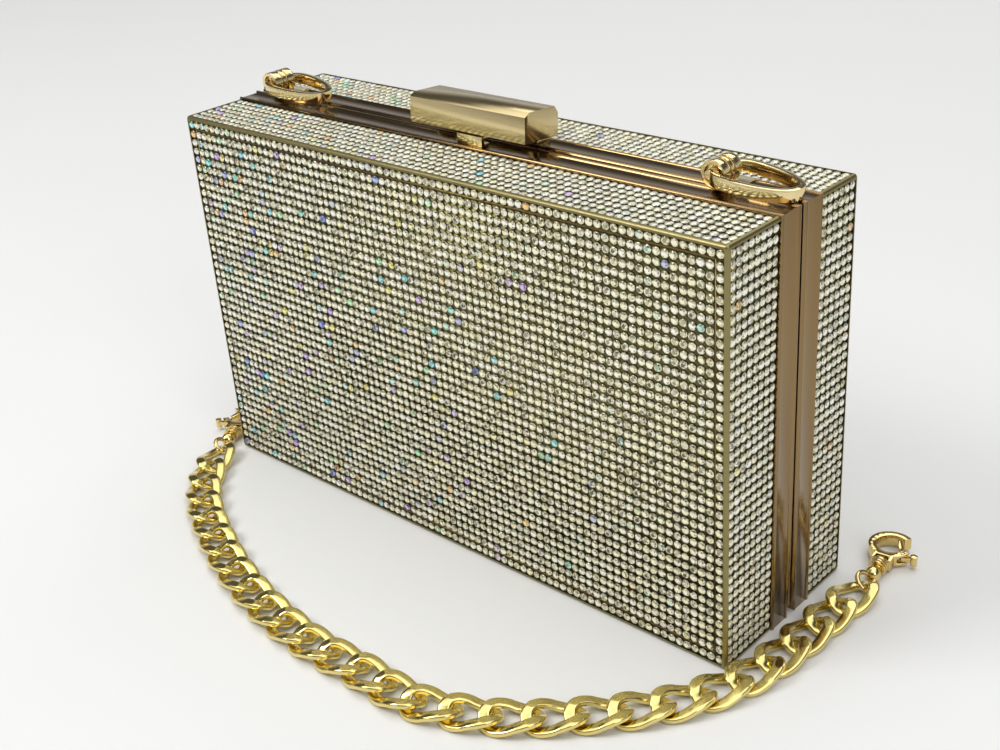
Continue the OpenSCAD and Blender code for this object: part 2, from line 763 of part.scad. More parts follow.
// A flat curb link: an oval whose two ends are twisted, so that its neighbours lie flat in it
function bent(value, power) = sign(value) * pow(abs(value), power);
function link_point(t) = [link_a * bent(cos(t), link_end_power),
                          link_b * bent(sin(t), link_side_power),
                          -link_c * bent(sin(2 * t), link_twist_power)];
function link_ring(t) =
    let (p = link_point(t), along = link_point(t + link_turn) - link_point(t - link_turn),
         out = [along[1], -along[0], 0] / norm([along[0], along[1]]))
        [for (q = wire_shares) p + q[0] * link_wire_w * out + [0, 0, q[1] * link_wire_h]];

module chain_link(i) {
    a = joint_at(i);
    b = joint_at(i + 1);
    color("#e0be5c")
        translate([(a[0] + b[0]) / 2, (a[1] + b[1]) / 2, chain_z])
            rotate(heading(a, b))
                skin([for (k = [0 : link_rings - 1]) link_ring((k + 1 / 2) * link_turn)], true);
}

// Puts a hook's pieces at the chain's left or right end, with X pointing away from the chain.
// Both gates face away from the bag, so the right hook is turned over.
module at_chain_end(left) {
    end = left ? joint_at(0) : joint_at(link_count);
    before = left ? joint_at(1) : joint_at(link_count - 1);
    translate([end[0], end[1], hook_z])
        rotate(heading(before, end) + (left ? left_hook_turn : right_hook_turn))
            rotate([left ? 0 : 180, 0, 0])
                children();
}

// The swivel's ring through the last link, with its ball, its post and the post's head
module swivel_eye() {
    post_start = eye_out + eye_ring_r;
    translate([eye_out, 0, 0])
        rotate([eye_lean, 0, 0])
            rotate([0, 0, 180])
                rotate_extrude()
                    translate([eye_ring_r, 0])
                        circle(r = eye_wire_r);
    translate([ball_out, 0, 0])
        rotate([0, 90, 0])
            sphere(r = ball_r);
    translate([post_start, 0, 0])
        rotate([0, 90, 0])
            cylinder(r = post_r, h = window_out + head_t + post_gap - post_start);
    translate([window_out + post_gap, 0, 0])
        rotate([0, 90, 0])
            cylinder(r = head_r, h = head_t);
}

// A swivel hook: a grooved barrel, a yoke with a window, and a round hook with its mouth open
module hook_body() {
    fork_half = gate_root_t / 2 + fork_play;
    mid_angle = (nose_angle + mouth_angle) / 2;
    difference() {
        union() {
            translate([barrel_out, 0, 0])
                rotate([0, 90, 0])
                    cylinder(r = barrel_r, h = barrel_len);
            translate([window_out - barrel_groove_d, -yoke_w / 2, -hook_t / 2])
                cube([window_len + barrel_groove_d + hook_r - hook_hole_r, yoke_w, hook_t]);
            translate([hook_out, 0, -hook_t / 2])
                cylinder(r = hook_r, h = hook_t);
        }
        for (step = [1, 2])
            translate([barrel_out + step * barrel_len / 3 - barrel_groove_d, 0, 0])
                rotate([0, 90, 0])
                    difference() {
                        cylinder(r = barrel_r + cut, h = barrel_groove_d);
                        cylinder(r = barrel_r - barrel_groove_d, h = barrel_groove_d);
                    }
        translate([window_out, -window_w / 2, -hook_t])
            cube([window_len, window_w, 2 * hook_t]);
        translate([barrel_out - cut, 0, 0])
            rotate([0, 90, 0])
                cylinder(r = post_r + post_play, h = barrel_len + window_len / 2 + cut);
        translate([hook_out, 0, 0]) {
            translate([0, 0, -hook_t])
                cylinder(r = hook_hole_r, h = 2 * hook_t);
            translate([0, 0, -hook_t])
                linear_extrude(2 * hook_t)
                    polygon([[0, 0], 2 * hook_r * [cos(nose_angle), sin(nose_angle)],
                             2 * hook_r * [cos(mid_angle), sin(mid_angle)],
                             2 * hook_r * [cos(mouth_angle), sin(mouth_angle)]]);
            translate([gate_pin_u, gate_pin_v, -fork_half])
                cylinder(r = fork_r, h = 2 * fork_half);
            translate([gate_pin_u, gate_pin_v, -hook_t])
                cylinder(r = gate_pin_r + fixed_play, h = 2 * hook_t);
        }
    }
}

// The gate closes the hook's mouth from inside; its knob stands outside the hook
module hook_gate() {
    end_u = gate_end_shares[0] * hook_hole_r;
    end_v = gate_end_shares[1] * hook_hole_r;
    reach = norm([end_u - gate_pin_u, end_v - gate_pin_v]);
    thick_from = fork_r + fork_play;
    translate([hook_out + gate_pin_u, gate_pin_v, 0])
        difference() {
            union() {
                translate([0, 0, -gate_root_t / 2])
                    cylinder(r = gate_w / 2 + gate_pin_r / 2, h = gate_root_t);
                rotate(atan2(end_v - gate_pin_v, end_u - gate_pin_u)) {
                    translate([0, -gate_w / 2, -gate_root_t / 2])
                        cube([thick_from + gate_w / 2, gate_w, gate_root_t]);
                    translate([thick_from, -gate_w / 2, -gate_t / 2])
                        cube([reach - thick_from, gate_w, gate_t]);
                    translate([reach, 0, -gate_t / 2])
                        cylinder(r = gate_w / 2, h = gate_t);
                }
                rotate(knob_angle) {
                    translate([0, -gate_w / 2, -gate_root_t / 2])
                        cube([knob_reach, gate_w, gate_root_t]);
                    translate([knob_reach, 0, -gate_t / 2])
                        cylinder(r = knob_r, h = gate_t);
                }
            }
            translate([0, 0, -hook_t])
                cylinder(r = gate_pin_r + gate_play, h = 2 * hook_t);
        }
}

module gate_pin() {
    translate([hook_out + gate_pin_u, gate_pin_v, -hook_t / 2])
        cylinder(r = gate_pin_r, h = hook_t);
}

module left_swivel_eye() {
    color("#d9b45a") at_chain_end(true) swivel_eye();
}

module left_hook_body() {
    color("#d9b45a") at_chain_end(true) hook_body();
}

module left_hook_gate() {
    color("#c79f45") at_chain_end(true) hook_gate();
}

module left_gate_pin() {
    color("#d0cabc") at_chain_end(true) gate_pin();
}

module right_swivel_eye() {
    color("#d9b45a") at_chain_end(false) swivel_eye();
}

module right_hook_body() {
    color("#d9b45a") at_chain_end(false) hook_body();
}

module right_hook_gate() {
    color("#c79f45") at_chain_end(false) hook_gate();
}

module right_gate_pin() {
    color("#d0cabc") at_chain_end(false) gate_pin();
}

front_shell();
front_stone_cover();
front_frame();
front_lining();
front_hinge_leaf();
front_hinge_rivets();
strike_tab();
rear_shell();
rear_stone_cover();
rear_frame();
rear_lining();
closing_lip();
rear_hinge_leaf();
rear_hinge_rivets();
hinge_pin();
clasp_bracket();
clasp_pin();
clasp_spring();
clasp_bar();
left_ring_lug();
right_ring_lug();
left_ring();
right_ring();
left_swivel_eye();
left_hook_body();
left_hook_gate();
left_gate_pin();
right_swivel_eye();
right_hook_body();
right_hook_gate();
right_gate_pin();
for (i = [0 : link_count - 1])
    chain_link(i);
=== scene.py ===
import math

import bpy
import numpy as np
from mathutils import Matrix, Vector


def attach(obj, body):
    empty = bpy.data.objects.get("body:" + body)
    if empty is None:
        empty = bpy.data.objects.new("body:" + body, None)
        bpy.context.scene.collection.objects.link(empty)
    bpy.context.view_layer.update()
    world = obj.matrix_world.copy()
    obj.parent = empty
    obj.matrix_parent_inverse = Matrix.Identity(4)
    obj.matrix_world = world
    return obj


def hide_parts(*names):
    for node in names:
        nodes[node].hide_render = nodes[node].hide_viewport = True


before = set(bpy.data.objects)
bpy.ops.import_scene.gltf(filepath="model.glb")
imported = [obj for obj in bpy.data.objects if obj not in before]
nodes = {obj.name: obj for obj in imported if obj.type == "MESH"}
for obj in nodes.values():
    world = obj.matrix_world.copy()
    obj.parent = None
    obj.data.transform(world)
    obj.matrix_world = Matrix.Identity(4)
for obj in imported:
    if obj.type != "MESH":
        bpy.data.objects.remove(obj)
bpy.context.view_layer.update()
scene = bpy.context.scene
MM = 0.001
X, Y, Z = np.eye(3)

# Sizes of the bag in millimetres, as in the solids
HALF_W, HEIGHT = 100.0, 118.0
Y_FRONT, Y_FRONT_BAND, Y_REAR_BAND, Y_REAR = -28.45, -6.95, 11.45, 28.45

# Camera
AZIMUTH, ELEVATION, ROLL = math.radians(44.2889), math.radians(26.9845), math.radians(-4.4591)
CAMERA_AT = (0.258678, -0.265795, 0.233737)
SENSOR_WIDTH, LENS = 36, 49.70
NEAR, FAR = 0.01, 20

level = math.cos(ELEVATION)
look = Vector((-math.sin(AZIMUTH) * level, math.cos(AZIMUTH) * level, -math.sin(ELEVATION)))
side = look.cross(Vector((0, 0, 1))).normalized()
rise = side.cross(look)
right = side * math.cos(ROLL) + rise * math.sin(ROLL)
up = rise * math.cos(ROLL) - side * math.sin(ROLL)
cam_data = bpy.data.cameras.new("camera")
cam_data.sensor_width = SENSOR_WIDTH
cam_data.lens = LENS
cam_data.clip_start, cam_data.clip_end = NEAR, FAR
cam = bpy.data.objects.new("camera", cam_data)
cam.matrix_world = Matrix.Translation(CAMERA_AT) @ Matrix((right, up, -look)).transposed().to_4x4()
scene.collection.objects.link(cam)
scene.camera = cam
scene.view_settings.view_transform = "Standard"


# Materials
PLAIN_IOR, GLASS_IOR = 1.45, 1.55
SHEEN_ROUGHNESS, LEAST_ROUGHNESS = 0.4, 0.02
# Detail of the noise in roughness, in tone and in relief
ROUGH_DETAIL, TONE_DETAIL, RELIEF_DETAIL = 4, 3, 3
# The tone drifts over patches this many times as wide as the grain
TONE_WIDTH = 6
RELIEF_HEIGHT = 0.0001
# The colour sockets of a mix node
MIX_A, MIX_B, MIX_RESULT = 6, 7, 2
# Roughness and its grain, metal and clear coat of the foiled stones
GLASS_ROUGH, GLASS_GRAIN = (0.05, 0.16), 260
GLASS_METALLIC, GLASS_COAT, GLASS_COAT_ROUGH = 0.35, 0.8, 0.03


def surface(name, ior):
    """A new material with its node tree and its shader."""
    mat = bpy.data.materials.new(name)
    mat.use_nodes = True
    shader = mat.node_tree.nodes["Principled BSDF"]
    shader.inputs["IOR"].default_value = ior
    return mat, mat.node_tree, shader


def noise(tree, place, scale, detail=2):
    """The level of a noise at a place."""
    node = tree.nodes.new("ShaderNodeTexNoise")
    node.inputs["Scale"].default_value = scale
    node.inputs["Detail"].default_value = detail
    tree.links.new(place, node.inputs["Vector"])
    return node.outputs["Fac"]


def vary_roughness(tree, shader, by, least, most):
    """The roughness runs from least to most as a noise does."""
    spread = tree.nodes.new("ShaderNodeMapRange")
    spread.inputs["To Min"].default_value = least
    spread.inputs["To Max"].default_value = most
    tree.links.new(by, spread.inputs["Value"])
    tree.links.new(spread.outputs["Result"], shader.inputs["Roughness"])


def material(name, base, rough, rough_span, metallic=1.0, grain=900, tone=0.06, bump=0.0,
             bump_scale=1500, sheen=0.0, stretch=None):
    """A surface whose colour, roughness and relief vary by noise in the piece's own space."""
    mat, tree, shader = surface(name, PLAIN_IOR)
    shader.inputs["Metallic"].default_value = metallic
    shader.inputs["Sheen Weight"].default_value = sheen
    shader.inputs["Sheen Roughness"].default_value = SHEEN_ROUGHNESS
    place = tree.nodes.new("ShaderNodeTexCoord").outputs["Object"]
    if stretch:
        mapping = tree.nodes.new("ShaderNodeMapping")
        mapping.inputs["Scale"].default_value = stretch
        tree.links.new(place, mapping.inputs["Vector"])
        place = mapping.outputs["Vector"]
    least, most = max(LEAST_ROUGHNESS, rough - rough_span), rough + rough_span
    vary_roughness(tree, shader, noise(tree, place, grain, ROUGH_DETAIL), least, most)
    mix = tree.nodes.new("ShaderNodeMix")
    mix.data_type = "RGBA"
    mix.inputs[MIX_A].default_value = tuple(c * (1 - tone) for c in base) + (1,)
    mix.inputs[MIX_B].default_value = tuple(min(1, c * (1 + tone)) for c in base) + (1,)
    tree.links.new(noise(tree, place, grain / TONE_WIDTH, TONE_DETAIL), mix.inputs[0])
    tree.links.new(mix.outputs[MIX_RESULT], shader.inputs["Base Color"])
    if bump:
        relief = tree.nodes.new("ShaderNodeBump")
        relief.inputs["Strength"].default_value = bump
        relief.inputs["Distance"].default_value = RELIEF_HEIGHT
        tree.links.new(noise(tree, place, bump_scale, RELIEF_DETAIL), relief.inputs["Height"])
        tree.links.new(relief.outputs["Normal"], shader.inputs["Normal"])
    return mat


def stone_material(name):
    """Foiled glass, in which each facet has its own colour, painted reflections and shade included."""
    mat, tree, shader = surface(name, GLASS_IOR)
    shader.inputs["Metallic"].default_value = GLASS_METALLIC
    shader.inputs["Coat Weight"].default_value = GLASS_COAT
    shader.inputs["Coat Roughness"].default_value = GLASS_COAT_ROUGH
    tint = tree.nodes.new("ShaderNodeAttribute")
    tint.attribute_name = "tint"
    tree.links.new(tint.outputs["Color"], shader.inputs["Base Color"])
    place = tree.nodes.new("ShaderNodeTexCoord").outputs["Object"]
    vary_roughness(tree, shader, noise(tree, place, GLASS_GRAIN), *GLASS_ROUGH)
    return mat


# Scales of the noise along X, Y and Z, which draw it out into fine brushing
ALONG_X, ALONG_BAND = (0.1, 1, 1), (0.15, 1, 0.15)
frame_metal = material("frame_metal", (0.27, 0.18, 0.083), 0.17, 0.05, bump=0.03, stretch=ALONG_BAND)
clasp_metal = material("clasp_metal", (0.68, 0.55, 0.29), 0.20, 0.05, bump=0.03, stretch=ALONG_X)
ring_gold = material("ring_gold", (0.82, 0.67, 0.36), 0.12, 0.03)
chain_gold = material("chain_gold", (0.80, 0.655, 0.245), 0.16, 0.02)
hook_gold = material("hook_gold", (0.78, 0.60, 0.25), 0.13, 0.04, bump=0.012)
bed_metal = material("bed_metal", (0.21, 0.185, 0.062), 0.42, 0.10, metallic=0.8, bump=0.25,
                     bump_scale=900)
edge_metal = material("edge_metal", (0.27, 0.23, 0.10), 0.36, 0.08, bump=0.10)
line_metal = material("line_metal", (0.21, 0.15, 0.055), 0.34, 0.08, bump=0.12)
hinge_brass = material("hinge_brass", (0.74, 0.55, 0.28), 0.26, 0.06, bump=0.08)
shell_brass = material("shell_brass", (0.62, 0.48, 0.24), 0.34, 0.08, bump=0.12)
steel = material("steel", (0.62, 0.60, 0.57), 0.22, 0.06, bump=0.08, stretch=ALONG_X)
lining = material("lining", (0.47, 0.375, 0.245), 0.42, 0.06, metallic=0.0, grain=260, tone=0.05,
                  bump=0.30, bump_scale=2600, sheen=0.6)
floor_paint = material("floor", (0.80, 0.80, 0.79), 0.55, 0.05, metallic=0.0, grain=40, tone=0.01)
stone_glass = stone_material("stone_glass")


# Mesh helpers
WELD = 0.000002
BEVEL_SEGMENTS, BEVEL_ANGLE = 2, math.radians(32)


def add_mesh(name, points, faces, mat, body, smooth_angle=None, tints=None):
    """A piece from points in millimetres, on one body.

    faces is a list of arrays, and all faces of one array have the same count of corners.
    """
    mesh = bpy.data.meshes.new(name)
    points = np.asarray(points, dtype=np.float64) * MM
    counts = np.concatenate([np.full(len(f), len(f[0]), dtype=np.int32) for f in faces])
    corners = np.concatenate([np.asarray(f, dtype=np.int32).ravel() for f in faces])
    mesh.vertices.add(len(points))
    mesh.vertices.foreach_set("co", points.astype(np.float32).ravel())
    mesh.loops.add(len(corners))
    mesh.loops.foreach_set("vertex_index", corners)
    mesh.polygons.add(len(counts))
    starts = np.concatenate([[0], np.cumsum(counts)[:-1]]).astype(np.int32)
    mesh.polygons.foreach_set("loop_start", starts)
    if tints is not None:
        layer = mesh.color_attributes.new("tint", "FLOAT_COLOR", "CORNER")
        layer.data.foreach_set("color", np.asarray(tints, dtype=np.float32).ravel())
    mesh.update(calc_edges=True)
    mesh.validate()
    mesh.materials.append(mat)
    if smooth_angle is not None:
        mesh.polygons.foreach_set("use_smooth", np.ones(len(mesh.polygons), dtype=bool))
        mesh.set_sharp_from_angle(angle=math.radians(smooth_angle))
    piece = bpy.data.objects.new(name, mesh)
    scene.collection.objects.link(piece)
    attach(piece, body)
    return piece


def sweep(rings, closed=True):
    """Points and faces of a skin over rings of points, each of the same count.

    The last ring joins the first, or else both have a cap.
    """
    n, m = len(rings), len(rings[0])
    spans = n if closed else n - 1
    ring = np.repeat(np.arange(spans), m)
    spot = np.tile(np.arange(m), spans)
    next_ring, next_spot = (ring + 1) % n, (spot + 1) % m
    quads = (ring * m + spot, next_ring * m + spot, next_ring * m + next_spot, ring * m + next_spot)
    faces = [np.stack(quads, axis=1)]
    if not closed:
        faces.append(np.arange(m)[None])
        faces.append((n - 1) * m + np.arange(m)[None, ::-1])
    return np.concatenate(rings), faces


def joined(parts):
    """Points and faces of several parts as those of one mesh."""
    points, faces, at = [], [], 0
    for part_points, part_faces in parts:
        points.append(part_points)
        faces += [f + at for f in part_faces]
        at += len(part_points)
    return np.concatenate(points), faces


def unit(vectors):
    """Vectors along the last axis, brought to length 1."""
    return vectors / np.linalg.norm(vectors, axis=-1)[..., None]


def dress(name, mat, bevel):
    """A CAD node keeps its shape and gets a finish, and soft edges by modifiers."""
    node = nodes[name]
    node.data.materials.clear()
    node.data.materials.append(mat)
    node.data.polygons.foreach_set("use_smooth", np.ones(len(node.data.polygons), dtype=bool))
    weld = node.modifiers.new("weld", "WELD")
    weld.merge_threshold = WELD
    if bevel:
        soft = node.modifiers.new("bevel", "BEVEL")
        soft.width = bevel * MM
        soft.segments = BEVEL_SEGMENTS
        soft.limit_method = "ANGLE"
        soft.angle_limit = BEVEL_ANGLE
        soft.harden_normals = True
        soft.use_clamp_overlap = True
    else:
        normals = node.modifiers.new("normals", "WEIGHTED_NORMAL")
        normals.keep_sharp = True


# Stones
CORNERS = 8
# Radius, height and turn in degrees of each ring of corners: table, crown, girdle and foot
STONE_RINGS = ((0.46, 0.0, 0.0), (0.80, -0.13, 22.5), (1.0, -0.32, 0.0), (0.96, -0.74, 0.0))
STONE_R = 1.26
# Spread of the radius, lean in degrees, and depth in the bed
SIZE_SPREAD, LEAN, SEAT = (0.97, 1.0), 3.5, 0.07
COLS, ROWS = 79, 42
# Radius of the bag's edges, and bare room beside the band
EDGE, BAND_ROOM = 1.15, 0.35
PITCH_U = (2 * HALF_W - 2 * EDGE) / COLS
PITCH_V = (HEIGHT - 2 * EDGE) / ROWS
# Extra room at the bare line, as a share of the pitch
RIM_GAP = 0.14
# About how far apart the lines stand on the ends, and on the top and the underside
END_PITCH, TOP_PITCH = 2.5, 2.8
# How far the painted shades are evened out on the closed face, its outer row, the ends and the top, where
# the stones show an even painted reflection of the light overhead
FACE_CALM, RIM_CALM, END_CALM, TOP_CALM = 0.0, 0.1, 0.2, 0.35

CLEAR = np.array([(0.99, 0.94, 0.72), (1.0, 0.97, 0.81), (0.96, 0.93, 0.68), (0.97, 0.96, 0.78)])
FIRE = np.array([(0.25, 0.70, 0.85), (0.22, 0.30, 0.85), (0.95, 0.85, 0.25), (0.35, 0.80, 0.45),
                 (0.55, 0.35, 0.85), (0.95, 0.55, 0.20), (0.25, 0.80, 0.80)])
# Shades of the facets: painted reflections that light some facets and darken others, with painted highlights
# above 1
SHADES = np.array([1.2, 1.0, 0.66, 0.34, 0.12])
SHADE_ODDS = np.array([0.46, 0.27, 0.13, 0.08, 0.06])
# Brightness of a stone, and how much of a coloured stone is its own colour
BRIGHTNESS, COLOUR_DEPTH = (0.82, 1.05), (0.35, 0.95)
# Painted shade, a painted reflection of a dark room above: facets that look up by more than UP_FROM darken,
# and over UP_SPAN lose a share that UP_LOSS spreads
UP_FROM, UP_SPAN, UP_LOSS = 0.12, 0.35, (0.35, 0.9)
# The painted shade toward which calm faces are evened out
CALM_SHADE = 0.95
# Share of the facets that flash with a painted glint, and how much of a glint is its own colour
FLASH_ODDS, FLASH_DEPTH = 0.02, 0.55
# Red, green and blue that darker facets lose, so that the painted shade is warmer
DARK_LOSS = (0.0, 0.07, 0.30)
# Painted light: the same for stones of the large faces, which grows from the left end to the right
RIGHT_LOSS, RIGHT_SLOPE = (0.03, 0.05, 0.13), 1.6
# Factor on the share of coloured stones at the right end, and what the left end has beyond it; the rise
# toward the left end is painted light, coloured glints where the light catches the coating
RIGHT_COLOUR, LEFT_COLOUR = 0.08, 2.6
# Painted shade: brightness of the skirt below the girdle, a dark line under each stone
SKIRT_PAINTED_SHADE = 0.14
rng = np.random.default_rng(7)


def one_stone():
    """Points, triangles and quads of a round faceted stone of radius 1 whose table is at height 0."""
    points, tris, quads = [], [], []
    for radius, height, turn in STONE_RINGS:
        for k in range(CORNERS):
            a = math.radians(360 / CORNERS * k + turn)
            points.append((radius * math.cos(a), radius * math.sin(a), height))
    for k in range(CORNERS):
        n = (k + 1) % CORNERS
        table, crown, girdle, foot = ((CORNERS * ring + k, CORNERS * ring + n) for ring in range(4))
        tris += [(table[0], crown[0], table[1]), (table[1], crown[0], crown[1])]
        tris += [(crown[0], girdle[0], girdle[1]), (crown[0], girdle[1], crown[1])]
        quads.append((girdle[0], foot[0], foot[1], girdle[1]))
    tris += [(0, k, k + 1) for k in range(1, CORNERS - 1)]
    return np.array(points), np.array(tris), np.array(quads)


STONE_PTS, STONE_TRIS, STONE_QUADS = one_stone()
TABLE_FROM = len(STONE_TRIS) - (CORNERS - 2)


def facet_tints(count, share, calm, upness):
    """A colour for each facet of each stone, painted light included. upness is how far the facet looks along
    the face's own up.
    """
    base = CLEAR[rng.integers(0, len(CLEAR), count)] * rng.uniform(*BRIGHTNESS, (count, 1))
    depth = (rng.random(count) < share)[:, None] * rng.uniform(*COLOUR_DEPTH, (count, 1))
    base = base * (1 - depth) + FIRE[rng.integers(0, len(FIRE), count)] * depth
    # Painted reflections: a bright or dark shade for each facet
    shade = SHADES[rng.choice(len(SHADES), upness.shape, p=SHADE_ODDS)]
    # Painted shade on facets that look up
    turned = np.clip((upness - UP_FROM) / UP_SPAN, 0, 1)
    shade = shade * (1 - turned * rng.uniform(*UP_LOSS, upness.shape))
    shade += (CALM_SHADE - shade) * calm[:, None]
    # Painted glints, each in one of the fire colours
    flashing = rng.random(upness.shape) < FLASH_ODDS
    # The painted shade is warmer where it is darker
    warm = 1 - np.clip(1 - shade, 0, 1)[..., None] * DARK_LOSS
    tints = base[:, None, :] * shade[..., None] * warm
    flash = FIRE[rng.integers(0, len(FIRE), upness.shape)] * FLASH_DEPTH + (1 - FLASH_DEPTH) * tints
    return np.clip(np.where(flashing[..., None], flash, tints), 0, 1)


def field(origin, u, v, normal, cols, rows, pitch_u, pitch_v, calm):
    """Places of stones on one face, in a plain grid about its middle. calm evens out their painted shades.
    """
    steps_u = (np.arange(cols) - (cols - 1) / 2) * pitch_u
    steps_v = (np.arange(rows) - (rows - 1) / 2) * pitch_v
    return [(origin + u * step_u + v * step_v, u, v, normal, calm)
            for step_u in steps_u for step_v in steps_v]


def stones(name, places, body, share):
    """One mesh of all the stones of a half, each turned and tipped a little, with its own facet colours and
    painted light.
    """
    count = len(places)
    centre, u, v, normal, calm = (np.array(column) for column in zip(*places))
    radius = STONE_R * rng.uniform(*SIZE_SPREAD, (count, 1, 1))
    # Coloured stones are partly the coating's own colour and partly painted glints, which make them common
    # at the left end and rare at the right; the large faces are painted warmer toward the right
    along = np.clip((centre[:, 0] + HALF_W) / (2 * HALF_W), 0, 1)
    share = share * (RIGHT_COLOUR + LEFT_COLOUR * (1 - along) ** 2)
    painted_warmth = np.abs(normal[:, 1]) * np.minimum(RIGHT_SLOPE * along, 1)
    spin = rng.uniform(0, math.tau, (count, 1))
    tip = rng.normal(0, math.radians(LEAN), (count, 2)) * (1 - calm[:, None])
    out = unit(normal + u * tip[:, :1] + v * tip[:, 1:])
    across = u * np.cos(spin) + v * np.sin(spin)
    across = unit(across - out * (across * out).sum(1)[:, None])
    axes = np.stack([across, np.cross(out, across), out], axis=1)
    points = centre[:, None, :] + (STONE_PTS @ axes) * radius - out[:, None, :] * SEAT
    first_points = (np.arange(count) * len(STONE_PTS))[:, None, None]
    faces, tints = [], []
    for f in (STONE_TRIS, STONE_QUADS):
        p, q, r = (points[:, f[:, k]] for k in range(3))
        looks = unit(np.cross(q - p, r - p))
        tint = facet_tints(count, share, calm, (looks * v[:, None, :]).sum(2))
        # Painted light: the large faces are warmer toward the right end
        tint *= 1 - painted_warmth[:, None, None] * RIGHT_LOSS
        # The skirt gets painted shade
        if f is STONE_QUADS:
            tint *= SKIRT_PAINTED_SHADE
        else:
            # The table's triangles share one colour
            tint[:, TABLE_FROM:] = tint[:, TABLE_FROM:TABLE_FROM + 1]
        tints.append(np.repeat(tint.reshape(-1, 3), f.shape[1], axis=0))
        faces.append((f + first_points).reshape(-1, f.shape[1]))
    tints = np.concatenate(tints)
    tints = np.c_[tints, np.ones(len(tints))]
    piece = add_mesh(name, points.reshape(-1, 3), faces, stone_glass, body, None, tints)


def half_stones(name, body, y_closed, y_open, share):
    """All the stones of one half. share is the coloured part of them, before it varies along X."""
    outward = -1 if y_closed < y_open else 1
    centre = np.array((0, y_closed, HEIGHT / 2))
    # The outer row and column of the face stand apart from the rest by a bare line
    inner_cols, inner_rows = COLS - 2, ROWS - 2
    inner_u = PITCH_U * (inner_cols - 2 * RIM_GAP) / inner_cols
    inner_v = PITCH_V * (inner_rows - 2 * RIM_GAP) / inner_rows
    looks = outward * Y
    places = field(centre, X, Z, looks, inner_cols, inner_rows, inner_u, inner_v, FACE_CALM)
    for s in (-1, 1):
        row_at = centre + s * Z * PITCH_V * (ROWS - 1) / 2
        column_at = centre + s * X * PITCH_U * (COLS - 1) / 2
        places += field(row_at, X, Z, looks, COLS, 1, PITCH_U, PITCH_V, RIM_CALM)
        places += field(column_at, X, Z, looks, 1, inner_rows, PITCH_U, inner_v, RIM_CALM)
    depth = abs(y_open - y_closed) - EDGE - BAND_ROOM
    mid = (y_closed + y_open - outward * (EDGE - BAND_ROOM)) / 2
    lines = round(depth / END_PITCH)
    for s in (-1, 1):
        end_at = np.array((s * HALF_W, mid, HEIGHT / 2))
        places += field(end_at, Y, Z, s * X, lines, ROWS, depth / lines, PITCH_V, END_CALM)
    lines = round(depth / TOP_PITCH)
    for z, s in ((HEIGHT, 1), (0, -1)):
        places += field(np.array((0, mid, z)), Y, X, s * Z, lines, COLS, depth / lines, PITCH_U, TOP_CALM)
    stones(name, places, body, share)


half_stones("front_stones", "front_half", Y_FRONT, Y_FRONT_BAND, 0.075)
half_stones("rear_stones", "rear_half", Y_REAR, Y_REAR_BAND, 0.06)


# Beds under the stones
# How far the tray's outside and its inside lie within the bag's outside
BED_OUTER, BED_INNER = 0.95, 1.85
EDGE_R = EDGE - 0.08
EDGE_STEPS, BALL_RINGS, BALL_STEPS, BALL_POLE = 7, 16, 9, 0.02
# Width of the outer row and of the outer column of stones
ROW_WIDTH, COLUMN_WIDTH = 2.76, 2.5
# Half the width of the bare line inside them, and the depths between which it lies
LINE_HALF, LINE_TOP, LINE_FOOT = 0.26, 0.6, 1.2
SMOOTH_ANGLE = 50


def quarter_round(start, end, out_u, out_v):
    """A quarter round along one edge, which bulges along the two outward directions."""
    angles = np.linspace(0, math.pi / 2, EDGE_STEPS)
    arc = [EDGE_R * (math.cos(a) * out_u + math.sin(a) * out_v) for a in angles]
    arc = np.array(arc + [np.zeros(3)])
    return sweep([start + arc, end + arc], closed=False)


def corner_ball(centre):
    """A ball of the edges' radius. A hair-thin tube through it joins its poles."""
    slopes = np.linspace(BALL_POLE, math.pi - BALL_POLE, BALL_STEPS)
    turns = np.linspace(0, math.tau, BALL_RINGS + 1)[:-1]
    rings = []
    for turn in turns:
        way = math.cos(turn) * X + math.sin(turn) * Y
        rings.append(np.array([centre + EDGE_R * (math.sin(p) * way + math.cos(p) * Z) for p in slopes]))
    return sweep(rings)


def block(low, high):
    """A box between two opposite corners."""
    (x0, y0, z0), (x1, y1, z1) = low, high
    corners = [(x, y, z) for z in (z0, z1) for x, y in ((x0, y0), (x1, y0), (x1, y1), (x0, y1))]
    quads = ((0, 3, 2, 1), (4, 5, 6, 7), (0, 1, 5, 4), (1, 2, 6, 5), (2, 3, 7, 6), (3, 0, 4, 7))
    return np.array(corners), [np.array(quads)]


def tray_parts(y_closed, y_open, inward):
    """The sheet bed of one half: five walls of one thickness."""

    def corners(inset, y):
        w, low, high = HALF_W - inset, inset, HEIGHT - inset
        return [(-w, y, low), (w, y, low), (w, y, high), (-w, y, high)]

    points = corners(BED_OUTER, y_closed + inward * BED_OUTER) + corners(BED_OUTER, y_open)
    points += corners(BED_INNER, y_closed + inward * BED_INNER) + corners(BED_INNER, y_open)
    quads = [(0, 1, 2, 3), (8, 11, 10, 9)]
    for k in range(4):
        n = (k + 1) % 4
        quads += [(k, 4 + k, 4 + n, n), (8 + k, 8 + n, 12 + n, 12 + k), (4 + k, 12 + k, 12 + n, 4 + n)]
    return points, [np.array(quads)]


